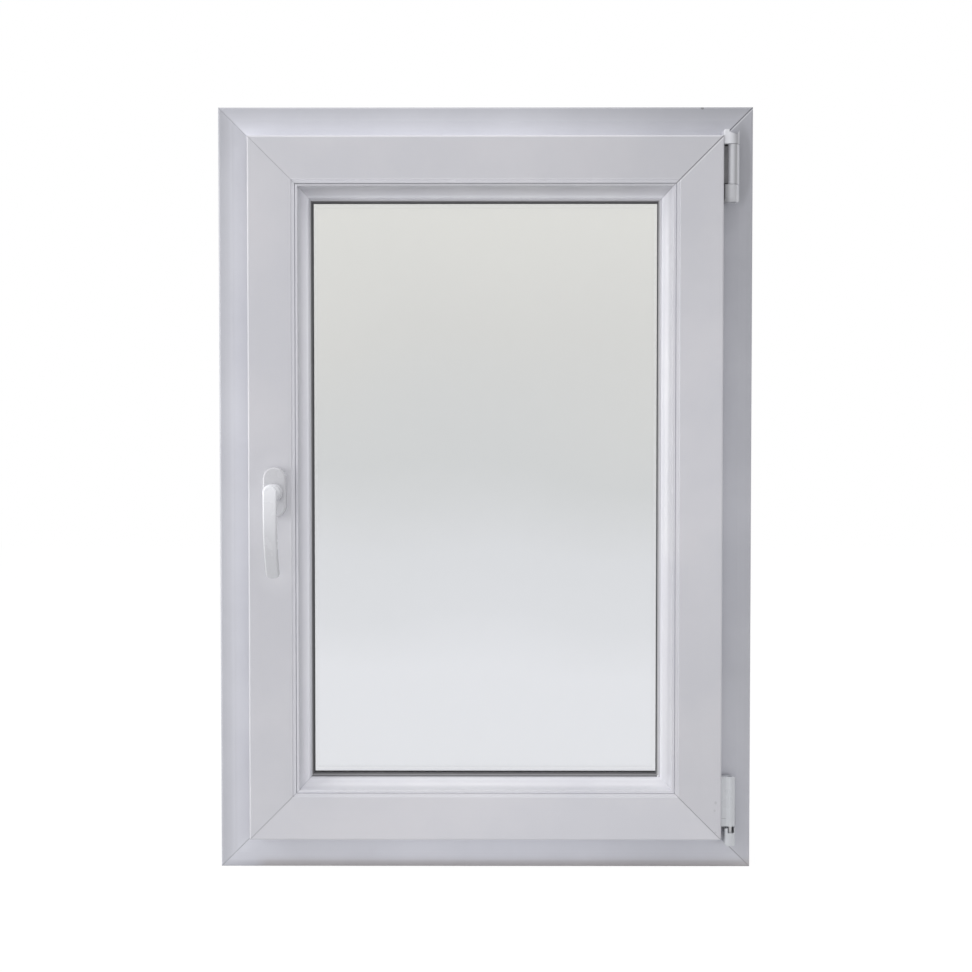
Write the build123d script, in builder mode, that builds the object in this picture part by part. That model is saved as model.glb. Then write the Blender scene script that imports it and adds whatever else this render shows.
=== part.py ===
# Single-sash PVC window that turns and tilts: outer frame, sash, double glazing,
# lever handle and two surface hinges.
# Millimetres. The origin is the middle of the sill's underside. +X is to the right
# and -Y towards a person in the room, +Z is up.
import os

from build123d import *

os.makedirs("parts", exist_ok=True)

# Overall size
width = 700
height = 1000

# Outer frame section. Depths are counted from the room face, heights from the
# outer perimeter towards the glass.
frame_depth = 70
frame_face = 47
frame_bevel_width = 19
frame_bevel_drop = 2
frame_outer_radius = 3
stop_height = 20
stop_thickness = 16
stop_slope = 4
frame_edge_radius = 1.5
frame_wall = 3
chamber_web = 2
anchor_groove_width = 6
anchor_groove_depth = 3
anchor_groove_inset = 12
seam_depth = 0.4

# Sash section
sash_overlap = 6
sash_face = 57
sash_projection = 20
sash_edge_radius = 2.5
sash_arris_radius = 0.8
sash_step_radius = 0.5
sash_flange_radius = 1
hardware_gap = 12
sash_leg_thickness = 14
sash_leg_slope = 4
lip_width = 4.3
lip_step = 1.5
sash_wall = 3
hardware_groove_width = 12
hardware_groove_depth = 9
hardware_groove_inset = 14

# Glazing
pane_thickness = 4
cavity = 16
pane_clearance = 4.7
spacer_height = 7
spacer_inset = 3
bead_height = 16.7
bead_projection = 1
bead_groove_width = 1.2
bead_groove_depth = 2.5
bead_nose_width = 2.4
bead_step_width = 0.8
bead_step_drop = 1.5
bead_cove_floor = 7
bead_cove_bend = 5
bead_lip_width = 1.2
bead_lip_height = 2
bead_lip_depth = 4
gasket_lip = 5.5
gasket_edge = 1.2
gasket_ribs = 3
gasket_foot = 8
outer_gasket_foot = 8
outer_gasket_lip = 2.5
outer_gasket_edge = 1.2

# Seals
room_seal_gap = 3.5
outdoor_seal_gap = 4
bead_gasket_thickness = 4
outer_gasket_thickness = 4
seal_height = 5
seal_offset = 1

# Handle
handle_from_edge = 76.8
handle_height = 497
rosette_length = 65
rosette_width = 30
rosette_depth = 11
rosette_edge_radius = 2.5
neck_diameter = 23
neck_gap = 0.4
neck_dome = 12
neck_reach = 49
neck_shoulder = 0.7
lever_length = 110
lever_top = 9
lever_width = 17.6
lever_tip_width = 16.6
lever_corner_radius = 6
lever_shoulder_radius = 8.5
lever_apex_standoff = 53
lever_apex_drop = 26
lever_bow_radius = 145
lever_thickness = 9
lever_edge_radius = 2
spindle_size = 7
spindle_depth = 30
spindle_clearance = 1

# Hinges
hinge_from_edge = 28.6
hinge_axis_projection = 11
barrel_diameter = 13
hinge_pin_diameter = 6.5
pin_clearance = 0.05
hinge_corner_radius = 2
upper_hinge_from_top = 33
upper_hinge_cap_height = 22
upper_hinge_knuckle_height = 52
upper_hinge_top_cap_height = 19
upper_hinge_joint_gap = 0.6
upper_hinge_cap_facet = 5
hinge_leaf_reach = 8.7
hinge_leaf_thickness = 3
hinge_leaf_setback = 1
top_notch_width = 3.5
top_notch_depth = 6.9
top_ear_width = 6.9
top_saddle_drop = 3.4
stay_arm_thickness = 3
stay_arm_margin = 2
sash_to_cap_gap = 1
lower_hinge_bottom = 32.5
lower_hinge_bracket_height = 17
lower_hinge_gap = 9
lower_hinge_knuckle_height = 65
lower_hinge_leaf_setback = 1
bracket_ear_height = 6.5
bracket_left_ear = 4
bracket_right_ear = 1.6
bracket_width = 14.2
bracket_corner_radius = 5

# Drainage
drain_cap_length = 42
drain_cap_height = 11
drain_cap_depth = 4
drain_cap_wall = 1.2
drain_cap_taper = 20
drain_cap_spacing = 440
drain_cap_centre = 22

# Places worked out from the sizes above
room_face = -frame_depth / 2
outdoor_face = frame_depth / 2
stop_face = outdoor_face - stop_thickness
stop_top = frame_face + stop_height
sash_edge = frame_face - sash_overlap
sash_room = room_face - sash_projection
sash_flange_back = room_face - room_seal_gap
sash_outdoor = stop_face - outdoor_seal_gap
sash_body = frame_face + hardware_gap
sash_face_end = sash_edge + sash_face
rebate = sash_face_end + lip_width
sight_line = rebate + bead_height
leg_room = sash_outdoor - sash_leg_thickness
glass_outer = leg_room - outer_gasket_thickness
glass_inner = glass_outer - 2 * pane_thickness - cavity
bead_back = glass_inner - bead_gasket_thickness
bead_room = sash_room + bead_projection
glass_edge = rebate + pane_clearance
spindle_bore = spindle_size * 2 ** 0.5 / 2 + spindle_clearance

# The room faces along which the welded corners show, as depth and height
frame_room_line = [
    (room_face + frame_bevel_drop, 0),
    (room_face, frame_bevel_width),
    (room_face, frame_face),
]
sash_room_line = [(sash_room, sash_edge), (sash_room, sash_face_end)]

# Each side of the window has its own plane: local x is the depth, local y runs
# from the outer perimeter towards the glass and local z along the side.
side_planes = {
    "bottom": Plane(origin=(0, 0, 0), x_dir=(0, 1, 0), z_dir=(1, 0, 0)),
    "top": Plane(origin=(0, 0, height), x_dir=(0, 1, 0), z_dir=(-1, 0, 0)),
    "left": Plane(origin=(-width / 2, 0, height / 2), x_dir=(0, 1, 0), z_dir=(0, 0, -1)),
    "right": Plane(origin=(width / 2, 0, height / 2), x_dir=(0, 1, 0), z_dir=(0, 0, 1)),
}
side_lengths = {"bottom": width, "top": width, "left": height, "right": height}


def mitred_rail(section, side):
    """One side's rail with the given section, cut at 45 degrees at both corners."""
    plane = side_planes[side]
    length = side_lengths[side]
    with BuildPart() as rail:
        with BuildSketch(plane):
            add(section)
        extrude(amount=length / 2, both=True)
        for end in (1, -1):
            corner = plane.origin + plane.z_dir * (end * length / 2)
            towards_middle = plane.y_dir * -1 + plane.z_dir * -end
            split(bisect_by=Plane(origin=corner, z_dir=towards_middle), keep=Keep.TOP)
    return rail


def welded_rail(section, side, room_line):
    """A mitred rail with half of the V groove that a cleaned weld leaves on its room side."""
    plane = side_planes[side]
    half = side_lengths[side] / 2
    with BuildPart() as rail:
        add(mitred_rail(section, side).part)
        for end in (1, -1):
            across = plane.y_dir + plane.z_dir * end
            seam = [
                plane.from_local_coords(Vector(depth, inward, end * (half - inward)))
                for depth, inward in room_line
            ]
            for start, finish in zip(seam, seam[1:]):
                with BuildSketch(Plane(origin=start, x_dir=across, z_dir=finish - start)):
                    RegularPolygon(seam_depth, 4)
                extrude(amount=(finish - start).length, mode=Mode.SUBTRACT)
    return rail


def chambers(low_depth, high_depth, low, high, count):
    """A row of equal hollow chambers, side by side through the depth of a profile."""
    size = (high_depth - low_depth - (count - 1) * chamber_web) / count
    for index in range(count):
        centre = low_depth + size / 2 + index * (size + chamber_web)
        with Locations((centre, (low + high) / 2)):
            Rectangle(size, high - low, mode=Mode.SUBTRACT)


def mitred_ring(section):
    """The same section all round, as one closed ring."""
    with BuildPart() as ring:
        for side in side_planes:
            add(mitred_rail(section, side).part)
    return ring


def frame_section():
    """Bevelled room face, flat rebate and the outdoor stop that falls outwards."""
    with BuildSketch() as section:
        with BuildLine():
            FilletPolyline(
                (room_face + frame_bevel_drop, 0),
                (room_face, frame_bevel_width),
                (room_face, frame_face),
                (stop_face, frame_face),
                (stop_face, stop_top),
                (outdoor_face, stop_top - stop_slope),
                (outdoor_face, 0),
                radius=[frame_outer_radius, 0, frame_edge_radius, 0,
                        frame_edge_radius, frame_edge_radius, frame_edge_radius],
                close=True,
            )
        make_face()
        for side in (-1, 1):
            with Locations((side * (frame_depth / 2 - anchor_groove_inset), 0)):
                Rectangle(anchor_groove_width, 2 * anchor_groove_depth, mode=Mode.SUBTRACT)
        chambers(
            room_face + frame_bevel_drop + frame_wall,
            outdoor_face - frame_wall,
            anchor_groove_depth + frame_wall,
            frame_face - frame_wall,
            3,
        )
        chambers(
            stop_face + frame_wall,
            outdoor_face - frame_wall,
            frame_face - frame_wall + chamber_web,
            stop_top - stop_slope - frame_wall,
            1,
        )
    return section.sketch


def sash_section():
    """Room flange, stepped lip at the bead, glazing rebate and sloping outdoor leg."""
    with BuildSketch() as section:
        with BuildLine():
            FilletPolyline(
                (sash_room, sash_edge),
                (sash_room, sash_face_end),
                (sash_room + lip_step, sash_face_end),
                (sash_room + lip_step, rebate),
                (leg_room, rebate),
                (leg_room, sight_line),
                (sash_outdoor, sight_line - sash_leg_slope),
                (sash_outdoor, sash_body),
                (sash_flange_back, sash_body),
                (sash_flange_back, sash_edge),
                radius=[sash_edge_radius, sash_arris_radius, 0, sash_step_radius, 0,
                        sash_arris_radius, frame_edge_radius, 0, 0, sash_flange_radius],
                close=True,
            )
        make_face()
        with Locations((sash_flange_back + hardware_groove_inset, sash_body)):
            Rectangle(hardware_groove_width, 2 * hardware_groove_depth, mode=Mode.SUBTRACT)
        chambers(
            sash_room + sash_wall,
            sash_outdoor - sash_wall,
            sash_body + hardware_groove_depth + sash_wall,
            rebate - sash_wall,
            3,
        )
    return section.sketch


def bead_section():
    """Glazing bead: shadow groove, flat nose, small step and a cove out to the lip at the glass."""
    nose = rebate + bead_groove_width
    step = nose + bead_nose_width + bead_step_width
    cove_top = (bead_room + bead_step_drop, step)
    cove_foot = (bead_back - bead_cove_floor, sight_line - bead_lip_width - bead_lip_height)
    with BuildSketch() as section:
        with BuildLine():
            Polyline(
                cove_top,
                (bead_room, nose + bead_nose_width),
                (bead_room, nose),
                (bead_room + bead_groove_depth, nose),
                (bead_room + bead_groove_depth, rebate),
                (bead_back, rebate),
                (bead_back, sight_line),
                (bead_back - bead_lip_depth, sight_line),
                (bead_back - bead_lip_depth - bead_lip_height, sight_line - bead_lip_width),
                cove_foot,
            )
            Bezier(cove_foot, (cove_foot[0] - bead_cove_bend, cove_top[1] + bead_step_width), cove_top)
        make_face()
    return section.sketch


def strip_section(low_depth, high_depth, low, high):
    """Plain strip between two depths and two heights from the perimeter."""
    with BuildSketch() as section:
        with BuildLine():
            Polyline(
                (low_depth, low),
                (high_depth, low),
                (high_depth, high),
                (low_depth, high),
                close=True,
            )
        make_face()
    return section.sketch


def bead_gasket_section():
    """Wedge gasket between bead and glass, with a ribbed lip that lies on the glass."""
    rib = gasket_lip / gasket_ribs
    fall = (glass_inner - gasket_edge - bead_back) / gasket_ribs
    with BuildSketch() as section:
        with BuildLine():
            Polyline(
                (bead_back, sight_line),
                (bead_back, sight_line - gasket_foot),
                (glass_inner, sight_line - gasket_foot),
                (glass_inner, sight_line + gasket_lip),
                (glass_inner - gasket_edge, sight_line + gasket_lip),
            )
            for index in range(gasket_ribs):
                outer = (glass_inner - gasket_edge - index * fall, sight_line + gasket_lip - index * rib)
                inner = (outer[0] - fall, outer[1] - rib)
                Polyline(outer, (inner[0], outer[1] - rib / 3), inner)
        make_face()
    return section.sketch


def outer_gasket_section():
    """Gasket between the outdoor leg and the glass, with a short lip outside."""
    with BuildSketch() as section:
        with BuildLine():
            Polyline(
                (glass_outer, sight_line - outer_gasket_foot),
                (leg_room, sight_line - outer_gasket_foot),
                (leg_room, sight_line),
                (glass_outer + outer_gasket_edge, sight_line + outer_gasket_lip),
                (glass_outer, sight_line + outer_gasket_lip),
                close=True,
            )
        make_face()
    return section.sketch


def pane(room_side):
    """One sheet of glass, resting between the gaskets."""
    with BuildPart() as sheet:
        with BuildSketch(Plane.XZ.offset(-room_side)):
            with Locations((0, height / 2)):
                Rectangle(width - 2 * glass_edge, height - 2 * glass_edge)
        extrude(amount=-pane_thickness)
    return sheet


# Handle planes: one on the sash face, looking into the room, and one through the
# spindle axis from the side, with local x counted from the sash face.
handle_x = -width / 2 + handle_from_edge
on_sash = Plane(origin=(handle_x, sash_room, handle_height), x_dir=(1, 0, 0), z_dir=(0, -1, 0))
handle_side = Plane(origin=(handle_x, sash_room, handle_height), x_dir=(0, -1, 0), z_dir=(-1, 0, 0))


def rosette():
    """Base plate of the handle, with a clearance hole for the spindle."""
    with BuildPart() as plate:
        with BuildSketch(on_sash):
            SlotOverall(rosette_length, rosette_width, rotation=90)
        extrude(amount=rosette_depth)
        fillet(plate.faces().sort_by(Axis.Y)[0].edges(), rosette_edge_radius)
        with BuildSketch(on_sash):
            Circle(spindle_bore)
        extrude(amount=rosette_depth, mode=Mode.SUBTRACT)
    return plate


def lever():
    """Bowed grip cut from a ring to its front outline, on a turned neck with a dome."""
    with BuildPart() as grip:
        with BuildSketch(handle_side):
            with Locations((lever_apex_standoff - lever_bow_radius, -lever_apex_drop)):
                Circle(lever_bow_radius)
                Circle(lever_bow_radius - lever_thickness, mode=Mode.SUBTRACT)
        extrude(amount=lever_width, both=True)
        with BuildSketch(on_sash):
            with BuildLine():
                FilletPolyline(
                    (-lever_width / 2, lever_top),
                    (-lever_tip_width / 2, -lever_length),
                    (lever_tip_width / 2, -lever_length),
                    (lever_width / 2, lever_top),
                    radius=[lever_shoulder_radius, lever_corner_radius,
                            lever_corner_radius, lever_shoulder_radius],
                    close=True,
                )
            make_face()
        extrude(amount=lever_apex_standoff + lever_thickness, mode=Mode.INTERSECT)
        fillet(grip.edges().filter_by(Axis.Y, reverse=True), lever_edge_radius)
        with BuildSketch(handle_side):
            with BuildLine():
                base = rosette_depth + neck_gap
                Polyline(
                    (neck_reach, 0),
                    (base, 0),
                    (base, neck_diameter / 2),
                    (neck_reach - neck_dome, neck_diameter / 2),
                )
                ThreePointArc(
                    (neck_reach - neck_dome, neck_diameter / 2),
                    (neck_reach - neck_dome * (1 - neck_shoulder), neck_diameter / 2 * neck_shoulder),
                    (neck_reach, 0),
                )
            make_face()
        revolve(axis=Axis(on_sash.origin, on_sash.z_dir))
    return grip


def spindle():
    """Square bar from the neck into the sash."""
    with BuildPart() as bar:
        with BuildSketch(on_sash.offset(rosette_depth + neck_gap)):
            Rectangle(spindle_size, spindle_size)
        extrude(amount=-(rosette_depth + neck_gap + spindle_depth))
    return bar


def left_stile():
    """Stile on the handle side, bored for the handle's spindle."""
    with BuildPart() as stile:
        add(welded_rail(sash_section(), "left", sash_room_line).part)
        with BuildSketch(on_sash):
            Circle(spindle_bore)
        extrude(amount=-(spindle_depth + spindle_clearance), mode=Mode.SUBTRACT)
    return stile


# Hinge axis and the levels of the hinge pieces
hinge_x = width / 2 - hinge_from_edge
hinge_y = room_face - hinge_axis_projection
sash_edge_x = width / 2 - sash_edge
barrel_radius = barrel_diameter / 2
upper_hinge_top = height - upper_hinge_from_top
upper_cap_level = upper_hinge_top - upper_hinge_top_cap_height
upper_knuckle_level = upper_cap_level - upper_hinge_knuckle_height
upper_hinge_bottom = upper_knuckle_level - upper_hinge_cap_height
bracket_top = lower_hinge_bottom + lower_hinge_bracket_height
lower_knuckle_level = bracket_top + lower_hinge_gap


def hinge_plane(level):
    return Plane(origin=(hinge_x, hinge_y, level), z_dir=(0, 0, 1))


def bore():
    """Hole for a hinge pin, in a sketch on the hinge axis."""
    Circle(hinge_pin_diameter / 2 + pin_clearance, mode=Mode.SUBTRACT)


def leaf():
    """Leaf that stands out to the right of the upper hinge, in a sketch on the hinge axis."""
    with Locations((hinge_leaf_reach / 2, hinge_leaf_setback + hinge_leaf_thickness / 2)):
        Rectangle(hinge_leaf_reach, hinge_leaf_thickness)


def pin(level, length):
    """Solid pin on the hinge axis."""
    with BuildPart() as piece:
        with BuildSketch(hinge_plane(level)):
            Circle(hinge_pin_diameter / 2)
        extrude(amount=length)
    return piece


def upper_barrel():
    """Round middle of the upper hinge on its foot, with a narrow leaf along its right side."""
    with BuildPart() as piece:
        with BuildSketch(hinge_plane(upper_knuckle_level + upper_hinge_joint_gap)):
            Circle(barrel_radius)
            with Locations((barrel_radius / 2, hinge_axis_projection / 2)):
                Rectangle(barrel_radius, hinge_axis_projection)
            leaf()
            bore()
        extrude(amount=upper_hinge_knuckle_height - upper_hinge_joint_gap)
    return piece


def hinge_block(level, length, left, with_leaf=False):
    """Block about the hinge axis: round to the right, with its back on the frame."""
    with BuildPart() as piece:
        with BuildSketch(hinge_plane(level)):
            Circle(barrel_radius)
            with Locations((0, hinge_axis_projection / 2)):
                Rectangle(barrel_diameter, hinge_axis_projection)
            with Locations((left / 2, (hinge_axis_projection - barrel_radius) / 2)):
                Rectangle(-left, hinge_axis_projection + barrel_radius)
            if with_leaf:
                leaf()
            bore()
        extrude(amount=length)
        fillet(
            piece.edges().filter_by(Axis.Z).group_by(Axis.X)[0].sort_by(Axis.Y)[0],
            hinge_corner_radius,
        )
    return piece


def upper_bottom_cap():
    """Bearing of the upper hinge, with a slanting facet at its lower end."""
    left = sash_edge_x + sash_to_cap_gap
    right = hinge_x + hinge_leaf_reach
    front = hinge_y - barrel_radius
    with BuildPart() as cap:
        add(hinge_block(upper_hinge_bottom, upper_hinge_cap_height, left - hinge_x, True).part)
        with BuildSketch(Plane.XZ):
            with BuildLine():
                FilletPolyline(
                    (left, upper_hinge_bottom),
                    (right, upper_hinge_bottom),
                    (right, upper_knuckle_level),
                    (left, upper_knuckle_level),
                    radius=[hinge_corner_radius / 2, 1.5 * hinge_corner_radius, 0, 0],
                    close=True,
                )
            make_face()
        extrude(amount=frame_depth, both=True, mode=Mode.INTERSECT)
        with BuildSketch(Plane.YZ.offset(left - hinge_corner_radius)):
            with BuildLine():
                Polyline(
                    (front, upper_hinge_bottom),
                    (front + upper_hinge_cap_facet / 2, upper_hinge_bottom),
                    (front, upper_hinge_bottom + upper_hinge_cap_facet),
                    close=True,
                )
            make_face()
        extrude(amount=2 * barrel_diameter, mode=Mode.SUBTRACT)
    return cap


def upper_top_cap():
    """Head of the stay arm: an ear at the sash edge, a saddle and a notched fin at the right."""
    bottom = upper_cap_level + upper_hinge_joint_gap
    right = hinge_x + hinge_leaf_reach
    ear = sash_edge_x + top_ear_width
    with BuildPart() as cap:
        add(hinge_block(bottom, upper_hinge_top - bottom, sash_edge_x - hinge_x, True).part)
        with BuildSketch(Plane.XZ):
            with BuildLine():
                FilletPolyline(
                    (sash_edge_x, bottom),
                    (right, bottom),
                    (right, upper_hinge_top),
                    (sash_edge_x, upper_hinge_top),
                    radius=[0, 0, 0, hinge_corner_radius],
                    close=True,
                )
            make_face()
        extrude(amount=frame_depth, both=True, mode=Mode.INTERSECT)
        with BuildSketch(Plane.XZ):
            with BuildLine():
                Polyline(
                    (ear, upper_hinge_top + top_notch_depth),
                    (ear, upper_hinge_top - top_saddle_drop),
                    (right - top_notch_width, upper_hinge_top - top_notch_depth),
                    (right + top_notch_width, upper_hinge_top + top_notch_depth),
                    close=True,
                )
            make_face()
        extrude(amount=frame_depth, both=True, mode=Mode.SUBTRACT)
    return cap


def stay_arm():
    """Flat steel arm from the sash edge to the barrel, behind the hinge axis."""
    reach = hinge_x - barrel_radius - sash_edge_x
    with BuildPart() as arm:
        with BuildSketch(hinge_plane(upper_knuckle_level + stay_arm_margin)):
            with Locations((-barrel_radius - reach / 2, 0)):
                Rectangle(reach, stay_arm_thickness)
        extrude(amount=upper_hinge_knuckle_height - 2 * stay_arm_margin)
    return arm


def sash_knuckle():
    """Lower hinge's knuckle: a flat leaf at the sash edge that ends in a round barrel."""
    reach = hinge_x - sash_edge_x
    right = hinge_x + barrel_radius
    top = lower_knuckle_level + lower_hinge_knuckle_height
    with BuildPart() as piece:
        with BuildSketch(hinge_plane(lower_knuckle_level)):
            Circle(barrel_radius)
            with Locations((-reach / 2, lower_hinge_leaf_setback / 2)):
                Rectangle(reach, barrel_diameter - lower_hinge_leaf_setback)
            bore()
        extrude(amount=lower_hinge_knuckle_height)
        with BuildSketch(Plane.XZ):
            with BuildLine():
                FilletPolyline(
                    (sash_edge_x, lower_knuckle_level),
                    (right, lower_knuckle_level),
                    (right, top),
                    (sash_edge_x, top),
                    radius=[0, 0, 1.5 * hinge_corner_radius, hinge_corner_radius / 4],
                    close=True,
                )
            make_face()
        extrude(amount=frame_depth, both=True, mode=Mode.INTERSECT)
    return piece


def lower_bracket():
    """Frame bracket: a block with a tall ear and a thin one about the pin."""
    right = hinge_x + barrel_radius
    left = right - bracket_width
    ear_top = bracket_top + bracket_ear_height
    with BuildPart() as piece:
        add(hinge_block(lower_hinge_bottom, ear_top - lower_hinge_bottom, left - hinge_x).part)
        with BuildSketch(Plane.XZ):
            with BuildLine():
                FilletPolyline(
                    (left, lower_hinge_bottom),
                    (right, lower_hinge_bottom),
                    (right, ear_top),
                    (right - bracket_right_ear, ear_top),
                    (right - bracket_right_ear, bracket_top),
                    (left + bracket_left_ear, bracket_top),
                    (left + bracket_left_ear, ear_top),
                    (left, ear_top),
                    radius=[bracket_corner_radius, hinge_corner_radius, 0, 0, 0, 0, 0, hinge_corner_radius],
                    close=True,
                )
            make_face()
        extrude(amount=frame_depth, both=True, mode=Mode.INTERSECT)
    return piece


def drain_cap(x):
    """Hood over a drainage slot on the sill's outdoor face, open at its lower edge."""
    outside = Plane(origin=(x, outdoor_face, drain_cap_centre), x_dir=(-1, 0, 0), z_dir=(0, 1, 0))
    with BuildPart() as cap:
        with BuildSketch(outside):
            RectangleRounded(drain_cap_length, drain_cap_height, drain_cap_height / 3)
        extrude(amount=drain_cap_depth, taper=drain_cap_taper)
        with BuildSketch(outside):
            with Locations((0, -drain_cap_height / 2)):
                Rectangle(drain_cap_length - 6 * drain_cap_wall, drain_cap_height)
        extrude(amount=drain_cap_depth - drain_cap_wall, mode=Mode.SUBTRACT)
    return cap


pieces = {
    "frame_sill": welded_rail(frame_section(), "bottom", frame_room_line),
    "frame_head": welded_rail(frame_section(), "top", frame_room_line),
    "frame_left_jamb": welded_rail(frame_section(), "left", frame_room_line),
    "frame_right_jamb": welded_rail(frame_section(), "right", frame_room_line),
    "frame_seal": mitred_ring(
        strip_section(
            sash_outdoor, stop_face, sash_body + seal_offset, sash_body + seal_offset + seal_height
        )
    ),
    "sash_bottom_rail": welded_rail(sash_section(), "bottom", sash_room_line),
    "sash_top_rail": welded_rail(sash_section(), "top", sash_room_line),
    "sash_left_stile": left_stile(),
    "sash_right_stile": welded_rail(sash_section(), "right", sash_room_line),
    "sash_seal": mitred_ring(
        strip_section(sash_flange_back, room_face, sash_edge + seal_offset, sash_edge + seal_height)
    ),
    "bead_bottom": mitred_rail(bead_section(), "bottom"),
    "bead_top": mitred_rail(bead_section(), "top"),
    "bead_left": mitred_rail(bead_section(), "left"),
    "bead_right": mitred_rail(bead_section(), "right"),
    "bead_gasket_bottom": mitred_rail(bead_gasket_section(), "bottom"),
    "bead_gasket_top": mitred_rail(bead_gasket_section(), "top"),
    "bead_gasket_left": mitred_rail(bead_gasket_section(), "left"),
    "bead_gasket_right": mitred_rail(bead_gasket_section(), "right"),
    "outer_glazing_gasket": mitred_ring(outer_gasket_section()),
    "inner_pane": pane(glass_inner),
    "outer_pane": pane(glass_outer - pane_thickness),
    "spacer_bar": mitred_ring(
        strip_section(
            glass_inner + pane_thickness,
            glass_outer - pane_thickness,
            glass_edge + spacer_inset,
            glass_edge + spacer_inset + spacer_height,
        )
    ),
    "handle_rosette": rosette(),
    "handle_lever": lever(),
    "handle_spindle": spindle(),
    "upper_hinge_bottom_cap": upper_bottom_cap(),
    "upper_hinge_barrel": upper_barrel(),
    "upper_hinge_top_cap": upper_top_cap(),
    "upper_hinge_arm": stay_arm(),
    "upper_hinge_pin": pin(upper_hinge_bottom, upper_hinge_top - top_notch_depth - upper_hinge_bottom),
    "lower_hinge_knuckle": sash_knuckle(),
    "lower_hinge_bracket": lower_bracket(),
    "lower_hinge_pin": pin(
        lower_hinge_bottom,
        lower_knuckle_level + lower_hinge_knuckle_height - lower_hinge_bottom,
    ),
    "drain_cap_left": drain_cap(-drain_cap_spacing / 2),
    "drain_cap_right": drain_cap(drain_cap_spacing / 2),
}

for name, piece in pieces.items():
    piece.part.label = name
    export_step(piece.part, f"parts/{name}.step")
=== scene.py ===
import math

import bmesh
import bpy
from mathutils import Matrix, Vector


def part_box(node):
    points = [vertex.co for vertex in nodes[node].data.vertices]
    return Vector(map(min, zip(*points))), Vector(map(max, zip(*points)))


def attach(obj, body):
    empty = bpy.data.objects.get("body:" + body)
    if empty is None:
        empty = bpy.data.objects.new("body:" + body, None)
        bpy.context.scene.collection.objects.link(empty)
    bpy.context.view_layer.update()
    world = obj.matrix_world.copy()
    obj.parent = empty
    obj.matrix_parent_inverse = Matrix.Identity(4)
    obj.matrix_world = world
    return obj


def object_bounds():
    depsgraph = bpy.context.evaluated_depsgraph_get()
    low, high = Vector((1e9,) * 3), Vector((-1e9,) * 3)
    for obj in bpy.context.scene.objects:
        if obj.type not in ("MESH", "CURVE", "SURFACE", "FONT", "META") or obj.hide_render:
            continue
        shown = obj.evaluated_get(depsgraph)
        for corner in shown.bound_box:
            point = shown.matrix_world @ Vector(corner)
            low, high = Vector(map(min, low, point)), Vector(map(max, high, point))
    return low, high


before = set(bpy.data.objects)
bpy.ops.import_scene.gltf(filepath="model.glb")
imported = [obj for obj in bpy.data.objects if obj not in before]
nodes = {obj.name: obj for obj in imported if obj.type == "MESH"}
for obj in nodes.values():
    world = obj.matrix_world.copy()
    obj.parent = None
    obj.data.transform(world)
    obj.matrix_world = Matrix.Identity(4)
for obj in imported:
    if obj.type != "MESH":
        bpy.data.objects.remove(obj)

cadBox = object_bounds()
print("frame loaded:", len(nodes), "pieces")

scene = bpy.context.scene
floorLevel = cadBox[0].z
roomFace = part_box("frame_sill")[0].y      # front of the outer frame
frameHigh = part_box("frame_head")[1]
halfWidth, halfHeight = frameHigh.x, frameHigh.z / 2


# Camera
cameraSettings = {
    "place": (0.0066, -1.93, 0.5567),
    "pitch": 1.575,      # degrees down
    "yaw": -0.174,       # degrees to the right
    "roll": 0.0,
    "lens": 53.4,
}


def makeCamera(settings):
    data = bpy.data.cameras.new("photoCamera")
    data.lens = settings["lens"]
    data.sensor_width = 36
    data.clip_end = 50
    camera = bpy.data.objects.new("photoCamera", data)
    camera.location = settings["place"]
    camera.rotation_mode = "XYZ"
    camera.rotation_euler = (
        math.radians(90 - settings["pitch"]),
        math.radians(settings["roll"]),
        math.radians(-settings["yaw"]),
    )
    scene.collection.objects.link(camera)
    scene.camera = camera


makeCamera(cameraSettings)
print("camera placed")


# Small helpers for node trees
def newTree(name, kind="ShaderNodeTree"):
    return bpy.data.node_groups.new(name, kind)


def addSocket(tree, name, kind, inOut, value=None):
    socket = tree.interface.new_socket(name=name, in_out=inOut, socket_type=kind)
    if value is not None:
        socket.default_value = value
    return socket


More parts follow.
